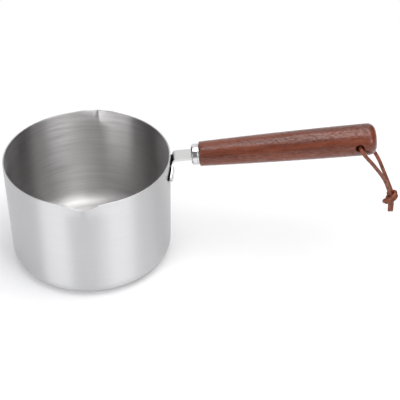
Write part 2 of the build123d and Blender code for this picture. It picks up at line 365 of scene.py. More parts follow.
def rounded(corners: list[Triple], steps: int) -> list[Pair]:
    """Round the corners of an open outline.

    Args:
        corners: Each corner's two coordinates and its radius, 0 where it stays sharp.
        steps: Flats along each rounding.

    Returns:
        The outline's points.
    """
    points = [corners[0][:2]]
    for before, corner, after in zip(corners, corners[1:], corners[2:]):
        here = Vector(corner[:2])
        back, on = (Vector(before[:2]) - here).normalized(), (Vector(after[:2]) - here).normalized()
        if not corner[2]:
            points.append(corner[:2])
            continue
        half = back.angle(on) / 2
        centre = here + (back + on).normalized() * (corner[2] / math.sin(half))
        reach = corner[2] / math.tan(half)
        start, end = here + back * reach - centre, here + on * reach - centre
        turn = start.angle_signed(end)
        for step in range(steps + 1):
            spoke = start.copy()
            spoke.rotate(Matrix.Rotation(-turn * step / steps, 2))
            points.append(tuple(centre + spoke))
    points.append(corners[-1][:2])
    return points


def grid_faces(rows: int, count: int, closed: bool = True) -> list[tuple[int, ...]]:
    """List the faces between rows of points.

    Args:
        rows: Number of rows.
        count: Points in each row.
        closed: Whether each row is a ring that closes on itself.

    Returns:
        Point numbers of each face.
    """
    faces = []
    for start in range(0, (rows - 1) * count, count):
        for column in range(count if closed else count - 1):
            here, after = start + column, start + (column + 1) % count
            faces.append((here, after, after + count, here + count))
    return faces


def new_piece(name: str, data: ID) -> Object:
    """Put a new object in the scene, at the origin.

    Args:
        name: Its name.
        data: Its mesh, curve, light or camera.

    Returns:
        The object.
    """
    piece = bpy.data.objects.new(name, data)
    bpy.context.scene.collection.objects.link(piece)
    return piece


def plain_mesh(
    name: str, points: Sequence[Any], faces: Sequence[tuple[int, ...]], material: Material
) -> Object:
    """Make an object of a mesh whose doubles are merged and whose faces point outwards.

    Args:
        name: Name of the piece.
        points: Places of its points, in metres.
        faces: Point numbers of each face.
        material: Its finish.

    Returns:
        The object, at the origin.
    """
    mesh = bpy.data.meshes.new(name)
    mesh.from_pydata([tuple(point) for point in points], [], faces)
    mesh.materials.append(material)
    piece = new_piece(name, mesh)
    tidy(piece)
    return piece


def tidy(piece: Object) -> None:
    """Merge a mesh's doubles, turn its faces outwards and shade it smooth between sharp edges.

    Args:
        piece: Object whose mesh is put in order.
    """
    shell = bmesh.new()
    shell.from_mesh(piece.data)
    bmesh.ops.remove_doubles(shell, verts=shell.verts, dist=1e-7)
    bmesh.ops.dissolve_degenerate(shell, edges=shell.edges, dist=1e-8)
    bmesh.ops.delete(shell, geom=[point for point in shell.verts if not point.link_faces], context="VERTS")
    bmesh.ops.recalc_face_normals(shell, faces=shell.faces)
    shell.to_mesh(piece.data)
    shell.free()
    piece.data.shade_smooth()
    piece.data.set_sharp_from_angle(angle=SHARP)


def dress(piece: Object, material: Material, wanted: Callable[[MeshPolygon], bool]) -> None:
    """Give another finish to the faces of a piece that a test picks out.

    Args:
        piece: The piece.
        material: The other finish.
        wanted: Test that is true for the faces that get it.
    """
    piece.data.materials.append(material)
    number = len(piece.data.materials) - 1
    for face in piece.data.polygons:
        if wanted(face):
            face.material_index = number


def bake(piece: Object) -> None:
    """Turn a piece's modifiers into plain mesh.

    Args:
        piece: Object with live modifiers.
    """
    graph = bpy.context.evaluated_depsgraph_get()
    mesh = bpy.data.meshes.new_from_object(piece.evaluated_get(graph), depsgraph=graph)
    piece.modifiers.clear()
    old = piece.data
    piece.data = mesh
    bpy.data.meshes.remove(old)
    tidy(piece)


def cut(piece: Object, cutter: Object) -> None:
    """Cut one closed piece out of another and drop the cutter.

    Args:
        piece: The piece that is cut.
        cutter: The closed piece whose room is taken away.
    """
    knife = piece.modifiers.new("cut", "BOOLEAN")
    knife.object, knife.operation, knife.solver = cutter, "DIFFERENCE", "EXACT"
    bake(piece)
    bpy.data.objects.remove(cutter)


def seat(piece: Object, body: str, slot: str, *nodes: str) -> None:
    """Let a piece ride on a body, stand for CAD nodes and log the slot meant for it.

    Args:
        piece: The finished piece.
        body: The body that carries it.
        slot: Name of the record's slot for its finish; it is only logged.
        *nodes: CAD nodes that it stands for.
    """
    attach(piece, body)
    if nodes:
        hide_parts(*nodes)
    LOG.info("%s rides on %s in slot %s", piece.name, body, slot)


class GeometryTree:
    """A geometry node tree with named inputs, put on an object as a modifier."""

    def __init__(self, name: str, inputs: dict[str, str]) -> None:
        """Start a tree that takes a shape and its named inputs, and gives a shape.

        Args:
            name: Name of the tree.
            inputs: Name of each further input to its kind, such as "Float".
        """
        self.tree = bpy.data.node_groups.new(name, "GeometryNodeTree")
        self.sockets: dict[str, str] = {}
        ways = self.tree.interface
        ways.new_socket("Geometry", in_out="OUTPUT", socket_type="NodeSocketGeometry")
        for title, kind in {"Geometry": "Geometry", **inputs}.items():
            socket = ways.new_socket(title, in_out="INPUT", socket_type=f"NodeSocket{kind}")
            self.sockets[title] = socket.identifier
        self.given = add_node(self.tree, "NodeGroupInput").outputs

    def end(self, geometry: NodeSocket, material: NodeSocket) -> None:
        """End the tree in real geometry with its finish.

        Args:
            geometry: Socket of the finished shape.
            material: Socket of its finish.
        """
        real = add_node(self.tree, "GeometryNodeRealizeInstances", {0: geometry}).outputs[0]
        dressed = add_node(self.tree, "GeometryNodeSetMaterial", {0: real, "Material": material}).outputs[0]
        add_node(self.tree, "NodeGroupOutput", {0: dressed})

    def put_on(self, piece: Object, values: dict[str, Any]) -> None:
        """Put the tree on a piece with its values, and bake it.

        Args:
            piece: Object that the tree works on.
            values: Value of each named input.
        """
        modifier = piece.modifiers.new(self.tree.name, "NODES")
        modifier.node_group = self.tree
        for name, value in values.items():
            modifier[self.sockets[name]] = value
        bake(piece)


def round_axis(tree: NodeTree, turn: NodeSocket, radius: NodeSocket) -> list[NodeSocket]:
    """Find where a turn about an axis leads.

    Args:
        tree: Node tree that gets the nodes.
        turn: Socket of the turn, in radians.
        radius: Socket of the distance from the axis.

    Returns:
        Sockets of both coordinates, square to the axis.
    """
    found = []
    for operation in ("COSINE", "SINE"):
        share = add_node(tree, "ShaderNodeMath", {0: turn}, operation=operation).outputs[0]
        found.append(add_node(tree, "ShaderNodeMath", {0: share, 1: radius}, operation="MULTIPLY").outputs[0])
    return found


def lathe_tree() -> GeometryTree:
    """Build the tree that turns a profile about an axis.

    Returns:
        A tree whose input mesh is the profile, x along the axis and y away from it.
    """
    inputs = {"Start": "Vector", "Tilt": "Float", "Segments": "Int", "Material": "Material"}
    lathe = GeometryTree("lathe", inputs)
    tree, given = lathe.tree, lathe.given
    count = add_node(tree, "GeometryNodeAttributeDomainSize", {0: given["Geometry"]}).outputs["Point Count"]
    columns = add_node(tree, "ShaderNodeMath", {0: given["Segments"], 1: 1.0}, operation="ADD").outputs[0]
    square = {"Size X": 1.0, "Size Y": 1.0, "Vertices X": count, "Vertices Y": columns}
    grid = add_node(tree, "GeometryNodeMeshGrid", square).outputs[0]
    place = add_node(tree, "GeometryNodeInputPosition").outputs[0]
    # The flat grid's x tells which point of the profile a corner takes, and its y how far it turns.
    row, around, _ = add_node(tree, "ShaderNodeSeparateXYZ", {0: place}).outputs
    last = add_node(tree, "ShaderNodeMath", {0: count, 1: 1.0}, operation="SUBTRACT").outputs[0]
    for operation, value in (("ADD", 0.5), ("MULTIPLY", last), ("ROUND", 0.0)):
        row = add_node(tree, "ShaderNodeMath", {0: row, 1: value}, operation=operation).outputs[0]
    turn = add_node(tree, "ShaderNodeMath", {0: around, 1: math.tau}, operation="MULTIPLY").outputs[0]
    sample = {"Geometry": given["Geometry"], "Value": place, "Index": row}
    taken = add_node(tree, "GeometryNodeSampleIndex", sample, data_type="FLOAT_VECTOR").outputs[0]
    along, radius, _ = add_node(tree, "ShaderNodeSeparateXYZ", {0: taken}).outputs
    across, above = round_axis(tree, turn, radius)
    spot = add_node(tree, "ShaderNodeCombineXYZ", {0: along, 1: across, 2: above}).outputs[0]
    turned = add_node(tree, "GeometryNodeSetPosition", {"Geometry": grid, "Position": spot}).outputs[0]
    closed = add_node(tree, "GeometryNodeMergeByDistance", {"Geometry": turned, "Distance": 1e-6}).outputs[0]
    back = add_node(tree, "ShaderNodeMath", {0: given["Tilt"], 1: -1.0}, operation="MULTIPLY").outputs[0]
    lean = add_node(tree, "ShaderNodeCombineXYZ", {1: back}).outputs[0]
    put = {"Geometry": closed, "Translation": given["Start"], "Rotation": lean}
    placed = add_node(tree, "GeometryNodeTransform", put).outputs[0]
    lathe.end(placed, given["Material"])
    return lathe


@dataclass
class HandleAxis:
    """The line that the handle, ferrule, stud and insert share.

    Args:
        start: Where the wood begins, in metres.
        tilt_deg: Slope of the handle.
        flats: Flats round a turned piece.
        lathe: Tree that turns a profile about this line.
    """

    start: Vector = field(default_factory=lambda: Vector((94.1 * MM, 0, 96.7 * MM)))
    tilt_deg: float = 5.1
    flats: int = 128
    lathe: GeometryTree = field(default_factory=lathe_tree)

    def at(self, along: float, side: float = 0.0, up: float = 0.0) -> Vector:
        """Find a point on or beside the axis.

        Args:
            along: Distance along the axis from the wood's start, in metres.
            side: Distance towards +Y.
            up: Distance up, square to the axis.

        Returns:
            The point.
        """
        tilt = math.radians(self.tilt_deg)
        ahead = Vector((math.cos(tilt), 0, math.sin(tilt)))
        above = Vector((-math.sin(tilt), 0, math.cos(tilt)))
        return self.start + ahead * along + Vector((0, side, 0)) + above * up

    def turn(self, name: str, profile: list[Pair], material: Material) -> Object:
        """Turn a profile about the axis.

        Args:
            name: Name of the piece.
            profile: Points as distance along and radius, in millimetres.
            material: Its finish.

        Returns:
            The turned piece.
        """
        points = [(along * MM, radius * MM, 0.0) for along, radius in profile]
        mesh = bpy.data.meshes.new(name)
        mesh.from_pydata(points, [(number, number + 1) for number in range(len(points) - 1)], [])
        piece = new_piece(name, mesh)
        tilt = math.radians(self.tilt_deg)
        values = {"Start": self.start, "Tilt": tilt, "Segments": self.flats, "Material": material}
        self.lathe.put_on(piece, values)
        return piece


@dataclass
class PanBody:
    """Drawn and spun vessel: a tapered wall, a rounded corner, a flat bottom and two pouring lips.

    Args:
        rim_radius: Outer radius at the rim, in millimetres, as are the sizes below.
        height: Height of the rim.
        base_radius: Outer radius that the wall's line has at the bottom.
        corner: Outer radius of the corner.
        sheet: Thickness of the metal.
        lip_reach: How far the two flanks of a lip would meet beyond the rim.
        lip_depth: How far down a lip reaches.
        lip_round: Outer radius of a lip's tip.
        lip_curl: How much faster than straight a lip swells towards the rim.
        lip_dip: How far a lip's edge is pulled down.
        dip_half: Half the width of that dip.
        lip_ways_deg: Directions of the two lips.
        rows: Rows of faces on the plain wall, in the band below the lips and in the lips.
        band: Height of the band below the lips, where the rows are as close as behind the flange.
        turns_deg: Spacing of the meridians all round, at the lips and behind the flange.
        close_turns: How many of the closer meridians lie on each side of a lip and of the flange.
    """

    rim_radius: float = 70.0
    height: float = 96.3
    base_radius: float = 68.8
    corner: float = 13.0
    sheet: float = 1.0
    lip_reach: float = 5.3
    lip_depth: float = 16.0
    lip_round: float = 6.5
    lip_curl: float = 1.35
    lip_dip: float = 1.5
    dip_half: float = 12.0
    lip_ways_deg: Pair = (-89.5, 85.5)
    rows: tuple[int, int, int] = (10, 12, 24)
    band: float = 6.0
    turns_deg: Triple = (1.5, 0.35, 0.5)
    close_turns: tuple[int, int] = (32, 36)

    def wall(self, height: float) -> float:
        """Outer radius of the wall at a height."""
        return self.base_radius + (self.rim_radius - self.base_radius) * height / self.height

    def lip_turn(self, angle: float) -> float:
        """Angle from the nearest lip's direction."""
        turns = [abs((angle - math.radians(way) + math.pi) % math.tau - math.pi) for way in self.lip_ways_deg]
        return min(turns)

    def lip_push(self, angle: float, inset: float) -> float:
        """Find how far a lip pushes the rim out beyond its circle.

        Args:
            angle: Direction from the vessel's axis, in radians.
            inset: Depth inside the outer face, in millimetres.

        Returns:
            The push, in millimetres, 0 away from the lips.
        """
        radius, tip = self.rim_radius - inset, self.lip_round - inset
        half = math.acos(self.rim_radius / (self.rim_radius + self.lip_reach))
        turn = self.lip_turn(angle)
        centre = (radius - tip) / math.cos(half)
        if turn >= half:
            return 0.0
        if turn > math.atan2(tip * math.sin(half), centre + tip * math.cos(half)):
            return radius / math.cos(half - turn) - radius
        return centre * math.cos(turn) + math.sqrt(tip**2 - (centre * math.sin(turn)) ** 2) - radius

    def dip(self, angle: float) -> float:
        """Find how far the rim's edge lies below its plane.

        Args:
            angle: Direction from the vessel's axis, in radians.

        Returns:
            The drop, in millimetres, 0 away from the lips.
        """
        across = self.rim_radius * math.sin(min(self.lip_turn(angle), 1.0))
        if across > self.dip_half:
            return 0.0
        circle = (self.dip_half**2 + self.lip_dip**2) / (2 * self.lip_dip)
        return self.lip_dip - circle + math.sqrt(circle**2 - across**2)

    def section(self, inset: float) -> list[Triple]:
        """Draw the meridian of one face, from its centre out and up to the rim.

        Args:
            inset: Depth inside the outer face.

        Returns:
            Radius, height and share of the lip at each station, the share 0 below the lips.
        """
        outline = [
            (0.0, inset, 0.0),
            (self.wall(inset) - inset, inset, self.corner - inset),
            (self.wall(self.height) - inset, self.height, 0.0),
        ]
        line = rounded(outline, steps=18)
        flat = line[1]
        # The bottom's rings lie closer together towards the corner.
        stations = [(flat[0] * share, inset, 0.0) for share in (0.0, 0.25, 0.5, 0.7, 0.85, 0.95)]
        stations += [(radius, height, 0.0) for radius, height in line[1:-1]]
        foot, top = stations[-1][1], self.height - self.lip_depth
        close = top - self.band
        plain, banded, lipped = self.rows
        levels = [foot + (close - foot) * step / plain for step in range(1, plain + 1)]
        levels += [close + (top - close) * step / banded for step in range(1, banded + 1)]
        stations += [(self.wall(height) - inset, height, 0.0) for height in levels]
        for step in range(1, lipped + 1):
            # The rows draw closer together towards the rim.
            share = 1 - (1 - step / lipped) ** 1.3
            height = top + self.lip_depth * share
            stations.append((self.wall(height) - inset, height, share))
        return stations

    def angles(self) -> list[float]:
        """List the directions of the meridians, closer together at the lips and behind the flange.

        Returns:
            The directions in rising order, in radians.
        """
        plain, at_lip, at_flange = self.turns_deg
        lip_reach, flange_reach = self.close_turns
        found = {round(step * plain, 4) for step in range(round(360 / plain))}
        for way in self.lip_ways_deg:
            found |= {round((way + step * at_lip) % 360, 4) for step in range(-lip_reach, lip_reach + 1)}
        found |= {round(step * at_flange % 360, 4) for step in range(-flange_reach, flange_reach + 1)}
        return [math.radians(turn) for turn in sorted(found)]

    def build(self, outside: Material, inside: Material) -> Object:
        """Make the vessel as one closed shell.

        Args:
            outside: Finish of its outer face.
            inside: Finish of its inner face.

        Returns:
            The vessel.
        """
        outer, inner = self.section(0.0), self.section(self.sheet)
        rows = [(radius, height, share, 0.0) for radius, height, share in outer]
        rows += [(radius, height, share, self.sheet) for radius, height, share in reversed(inner)]
        angles = self.angles()
        points = []
        for radius, height, share, inset in rows:
            for angle in angles:
                dip = self.dip(angle)
                pressed = share * (1 - dip / self.lip_depth)
                out = self.wall(self.height - self.lip_depth * (1 - pressed)) - inset if share else radius
                out += self.lip_push(angle, inset) * pressed**self.lip_curl
                up = height - dip * share
                points.append((out * math.cos(angle) * MM, out * math.sin(angle) * MM, up * MM))
        piece = plain_mesh("spun_vessel", points, grid_faces(len(rows), len(angles)), outside)
        mouth = Vector((0, 0, self.height * MM))
        dress(piece, inside, lambda face: face.normal.dot(face.center - mouth) < 0)
        seat(piece, PAN, "pan_steel", "pan_body")
        return piece


@dataclass
class HandleBracket:
    """Strap on the handle's axis, bent down to a flared flange that is spot welded to the wall.

    Args:
        axis: The handle's axis.
        pan: The vessel that carries the flange.
        width: Width of the strap, in millimetres, as are the sizes below.
        thickness: Thickness of the strap.
        bend: Radius of its bend, at the middle of the metal.
        seam: Gap between the flange's welds and the wall.
        slit: How far the flange stands off the wall between its welds.
        flange: Thickness that the flange is pressed to.
        shoulder: Where the strap narrows to its tongue, along the handle's axis.
        tongue: Width and end of the tongue.
        top: Height at which the flange begins to flare.
        corner_height: Height of its corners.
        bottom: Height of its lowest point.
        half_width: Half the width at the corners.
        flare_round: Reach of the rounding between the flare and the lower edge.
        blunt: How much of its tip the flange lacks.
        ease: Width of the eased edges.
        button: Radius and height of a weld button.
        button_step: Spacing of the buttons.
        button_level: Height of the buttons.
        button_count: How many of them sit in the row.
        unshaded_rim: Height of the strip below the rim that the painted shade leaves out.
        nugget: Radius of a nugget as a share of its button's, and how far it sinks in below the flange.
        columns: Columns of faces across the plate.
        flange_rows: Rows of faces on the flange.
        fade_rows: Rows over which the flange's curve fades out in the bend.
    """

    axis: HandleAxis
    pan: PanBody
    width: float = 14.0
    thickness: float = 2.0
    bend: float = 3.5
    seam: float = 0.05
    slit: float = 1.5
    flange: float = 1.0
    shoulder: float = -4.6
    tongue: Pair = (8.0, 3.3)
    top: float = 91.5
    corner_height: float = 83.5
    bottom: float = 75.5
    half_width: float = 19.0
    flare_round: float = 4.0
    blunt: float = 0.03
    ease: float = 0.15
    button: Pair = (3.2, 0.8)
    button_step: float = 11.0
    button_level: float = 80.5
    button_count: int = 3
    unshaded_rim: float = 1.5
    nugget: Pair = (0.95, 0.3)
    columns: int = 28
    flange_rows: int = 40
    fade_rows: int = 8

    def half(self, height: float) -> float:
        """Find half the width of the strap or flange at a height, with the flange's corners rounded.

        Args:
            height: Height, in millimetres.

        Returns:
            Half the width there.
        """
        if height >= self.top:
            return self.width / 2
        spread = (self.top - height) / (self.top - self.corner_height)
        flare = self.width / 2 + (self.half_width - self.width / 2) * spread
        rise = self.corner_height - self.bottom
        circle = (self.half_width**2 + rise**2) / (2 * rise)
        arc = math.sqrt(max(0.0, circle**2 - (height - self.bottom - circle) ** 2))
        near = max(self.flare_round - abs(flare - arc), 0.0) / self.flare_round
        return max(0.0, min(flare, arc) - near**2)

    def rows(self) -> list[tuple[float, float, float, float]]:
        """Lay the plate's rows from the flange's tip up, round the bend and out to the tongue's end.

        Returns:
            Each row's x and z, half its width, and its share of the flange's curve and thinness.
        """
        middle = self.seam + self.slit + self.flange / 2
        leg = self.pan.wall(self.top) + middle
        slope = math.tan(math.radians(self.axis.tilt_deg))
        knee = self.axis.start.z / MM + (leg - self.axis.start.x / MM) * slope
        end, tip = self.axis.at(self.shoulder * MM), self.axis.at(self.tongue[1] * MM)
        outline = [(leg, self.bottom, 0), (leg, knee, self.bend), (end.x / MM, end.z / MM, 0)]
        line = rounded(outline, steps=12)
        rows = []
        # The lowest row keeps a little width, so that the plate stays closed at its tip.
        lowest = self.bottom + self.blunt
        for step in range(self.flange_rows + 1):
            # The rows lie closer together at the rounded tip.
            share = math.sin(step / self.flange_rows * math.pi / 2) ** 1.4
            height = lowest + (line[1][1] - lowest) * share
            rows.append((self.pan.wall(height) + middle, height, self.half(height), 1.0))
        for number, (x, z) in enumerate(line[2:]):
            rows.append((x, z, self.half(z), max(0.0, 1 - number / self.fade_rows)))
        rows.append((tip.x / MM, tip.z / MM, self.width / 2, 0.0))
        return rows

    def strap(self, material: Material, scaled: Material) -> Object:
        """Make the strap, its bend and its flange as one plate with eased edges.

        Args:
            material: Finish of the strap.
            scaled: Nearly black finish, painted shade, for the flange's hidden face.

        Returns:
            The strap.
        """
        rows, across = self.rows(), self.columns
        # The tongue is the middle columns alone, so that the step at the shoulder is a clean corner.
        inner = round(across * (1 - self.tongue[0] / self.width) / 2)
        spans = [(0, across)] * (len(rows) - 1) + [(inner, across - inner)]
        points, faces = [], []
        for side_sign in (1, -1):
            for number, (x, z, half, curve) in enumerate(rows):
                before, after = rows[max(number - 1, 0)], rows[min(number + 1, len(rows) - 1)]
                along = Vector((after[0] - before[0], after[1] - before[1])).normalized()
                thick = self.thickness + (self.flange - self.thickness) * curve
                offset = Vector((along.y, -along.x)) * thick / 2 * side_sign
                for column in range(across + 1):
                    side = (2 * column / across - 1) * half
                    sag = x - math.sqrt(x * x - side * side)
                    points.append(((x + offset.x - sag * curve) * MM, side * MM, (z + offset.y) * MM))
        count = across + 1
        back = len(rows) * count
        for row, (left, right) in enumerate(spans[1:]):
            for first in range(row * count + left, row * count + right):
                second = first + back
                faces.append((first, first + 1, first + count + 1, first + count))
                faces.append((second + count, second + count + 1, second + 1, second))
            for column, way in ((left, 1), (right, -1)):
                first = row * count + column
                faces.append((first, first + count, first + count + back, first + back)[::way])
        tongue = range(inner, across - inner)
        ends = [(0, column, 1) for column in range(across)]
        ends += [(len(rows) - 2, column, -1) for column in range(across) if column not in tongue]
        ends += [(len(rows) - 1, column, -1) for column in tongue]
        for row, column, way in ends:
            first = row * count + column
            faces.append((first + 1, first, first + back, first + back + 1)[::way])
        piece = plain_mesh("strap_bracket", points, faces, material)
        eased = piece.modifiers.new("eased", "BEVEL")
        eased.width, eased.segments = self.ease * MM, 3
        eased.limit_method, eased.angle_limit = "ANGLE", math.radians(50)
        bake(piece)
        # The flange's face that looks back at the wall is hidden, and gets the nearly black painted shade.
        hidden = (self.pan.rim_radius + self.thickness + self.bend) * MM
        dress(piece, scaled, lambda face: face.normal.x < -0.9 and face.center.x < hidden)
        return piece

    def buttons(self, material: Material, scaled: Material) -> Object:
        """Set the weld buttons and their nuggets on the flange with geometry nodes.

        Args:
            material: Finish of the buttons.
            scaled: Nearly black finish, painted shade, for the nuggets in the gap behind them.

        Returns:
            The buttons and nuggets as one piece.
        """
        sizes = ("Face Radius", "Level", "Step Angle", "Button Radius", "Button Height")
        sizes += ("Nugget Radius", "Nugget Depth", "Nugget Middle")
        inputs = {"Count": "Int", "Material": "Material"} | {name: "Float" for name in sizes}
        weld = GeometryTree("weld_buttons", inputs)
        tree, given = weld.tree, weld.given
        row = add_node(tree, "GeometryNodePoints", {"Count": given["Count"]}).outputs[0]
        # A button's angle is its number, counted from the middle of the row, times the step.
        middle, angle = given["Count"], add_node(tree, "GeometryNodeInputIndex").outputs[0]
        for operation, value in (("SUBTRACT", 1.0), ("MULTIPLY", 0.5)):
            middle = add_node(tree, "ShaderNodeMath", {0: middle, 1: value}, operation=operation).outputs[0]
        for operation, value in (("SUBTRACT", middle), ("MULTIPLY", given["Step Angle"])):
            angle = add_node(tree, "ShaderNodeMath", {0: angle, 1: value}, operation=operation).outputs[0]
        x, y = round_axis(tree, angle, given["Face Radius"])
        spot = add_node(tree, "ShaderNodeCombineXYZ", {0: x, 1: y, 2: given["Level"]}).outputs[0]
        spread = add_node(tree, "GeometryNodeSetPosition", {"Geometry": row, "Position": spot}).outputs[0]
        sphere = {"Segments": 32, "Rings": 20, "Radius": given["Button Radius"]}
        ball = add_node(tree, "GeometryNodeMeshUVSphere", sphere).outputs[0]
        domed = {0: given["Button Height"], 1: given["Button Radius"]}
        flat = add_node(tree, "ShaderNodeMath", domed, operation="DIVIDE").outputs[0]
        squeeze = add_node(tree, "ShaderNodeCombineXYZ", {0: flat, 1: 1.0, 2: 1.0}).outputs[0]
        dome = add_node(tree, "GeometryNodeTransform", {"Geometry": ball, "Scale": squeeze}).outputs[0]
        pin = {"Vertices": 32, "Radius": given["Nugget Radius"], "Depth": given["Nugget Depth"]}
        rod = add_node(tree, "GeometryNodeMeshCylinder", pin).outputs[0]
        inward = add_node(tree, "ShaderNodeCombineXYZ", {0: given["Nugget Middle"]}).outputs[0]
        lying = {"Geometry": rod, "Translation": inward, "Rotation": (0.0, math.pi / 2, 0.0)}
        nugget = add_node(tree, "GeometryNodeTransform", lying).outputs[0]
        weld_shape = add_node(tree, "GeometryNodeJoinGeometry", {0: dome})
        tree.links.new(nugget, weld_shape.inputs[0])
        facing = add_node(tree, "ShaderNodeCombineXYZ", {2: angle}).outputs[0]
        placed = {"Points": spread, "Instance": weld_shape.outputs[0], "Rotation": facing}
        copies = add_node(tree, "GeometryNodeInstanceOnPoints", placed).outputs[0]
        weld.end(copies, given["Material"])
        piece = new_piece("weld_buttons", bpy.data.meshes.new("weld_buttons"))
        behind_flange = self.pan.wall(self.button_level) + self.seam + self.slit
        weld.put_on(
            piece,
            {
                "Face Radius": (behind_flange + self.flange) * MM,
                "Level": self.button_level * MM,
                "Step Angle": self.button_step / self.pan.rim_radius,
                "Button Radius": self.button[0] * MM,
                "Button Height": self.button[1] * MM,
                "Nugget Radius": self.button[0] * self.nugget[0] * MM,
                "Nugget Depth": (self.slit + self.flange) * MM,
                "Nugget Middle": -((self.slit + self.flange) / 2 + self.nugget[1]) * MM,
                "Count": self.button_count,
                "Material": material,
            },
        )
        # The nuggets in the gap behind the flange get the painted shade.
        dress(piece, scaled, lambda face: face.center.xy.length < behind_flange * MM)
        return piece

    def behind(self, spot: Vector) -> bool:
        """Tell whether a point of the wall lies behind the flange.

        Args:
            spot: The point, in metres.

        Returns:
            True where the flange hides it.
        """
        height, side = spot.z / MM, abs(spot.y) / MM
        level = self.bottom < height < self.pan.height - self.unshaded_rim
        return spot.x > 0 and level and side < self.half(height)

    def build(self, wall: Object, material: Material, scaled: Material) -> None:
        """Make the bracket and its weld buttons, with painted shade on the wall where the flange hides it.

        Args:
            wall: The vessel's piece.
            material: Finish of the bracket.
            scaled: Nearly black finish, painted shade, for the hidden faces.
        """
        # The wall behind the flange gets the nearly black finish: painted shade in the gap.
        dress(wall, scaled, lambda face: face.material_index == 0 and self.behind(face.center))
        seat(self.strap(material, scaled), PAN, "bracket_steel", "handle_bracket")
        seat(self.buttons(material, scaled), PAN, "bracket_steel")


@dataclass
class HandleFittings:
    """Ferrule, stud and insert, all turned about the handle's axis.

    Args:
        axis: The handle's axis.
        length: Length of the ferrule, in millimetres, as are the sizes below.
        radius: Outer radius of the ferrule.
        wall: Thickness of its side.
        front: Thickness of its front wall.
        chamfer: Chamfer round its front.
        bead: Width of the bead behind, and of the groove before it.
        groove: Depth of that groove.
        gap: How far the ferrule stays off the wood's shoulder.
        slot: Half the width and half the height of the slot for the tongue.
    """

    axis: HandleAxis
    length: float = 6.5
    radius: float = 9.0
    wall: float = 0.8
    front: float = 1.2
    chamfer: float = 1.2
    bead: float = 1.4
    groove: float = 0.25
    gap: float = 0.02
    slot: Pair = (7.1, 1.1)

    def ferrule(self, material: Material) -> Object:
        """Make the polished cap, with its groove and bead, and cut its slot.

        Args:
            material: Its finish.

        Returns:
            The ferrule.
        """
        # Each corner's place along the axis, radius and rounding, from inside the front round to its outside.
        outline = [
            (-self.length + self.front, 0, 0),
            (-self.length + self.front, self.radius - self.wall, 0),
            (-self.gap, self.radius - self.wall, 0),
            (-self.gap, self.radius, 0.6),
            (-self.bead, self.radius, 0.5),
            (-self.bead - 0.1, self.radius - self.groove, 0.04),
            (-self.bead - 0.2, self.radius - 0.05, 0.1),
            (-self.length + self.chamfer, self.radius, 0.25),
            (-self.length, self.radius - self.chamfer, 0.3),
            (-self.length, 0, 0),
        ]
        piece = self.axis.turn("ferrule_cap", rounded(outline, steps=5), material)
        # The slot's block reaches through the front wall.
        block = [
            self.axis.at(along * MM, side * MM, up * MM)
            for along in (-self.length - 1, -self.length + self.front + 1)
            for side in (-self.slot[0], self.slot[0])
            for up in (-self.slot[1], self.slot[1])
        ]
        faces = [(0, 1, 3, 2), (4, 6, 7, 5), (0, 4, 5, 1), (2, 3, 7, 6), (0, 2, 6, 4), (1, 5, 7, 3)]
        cut(piece, plain_mesh("ferrule_slot", block, faces, material))
        return piece

    def build(self, polished: Material, steel: Material, brass: Material) -> None:
        """Make the ferrule, and give the stud and the insert, whose CAD shapes stay, their finish.

        Args:
            polished: Finish of the ferrule.
            steel: Finish of the stud.
            brass: Finish of the insert.
        """
        seat(self.ferrule(polished), PAN, "ferrule_steel", "ferrule")
        for name, finish in (("threaded_stud", steel), ("threaded_insert", brass)):
            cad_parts[name].material_slots[0].material = finish
            LOG.info("%s keeps its CAD shape, in %s", name, finish.name)


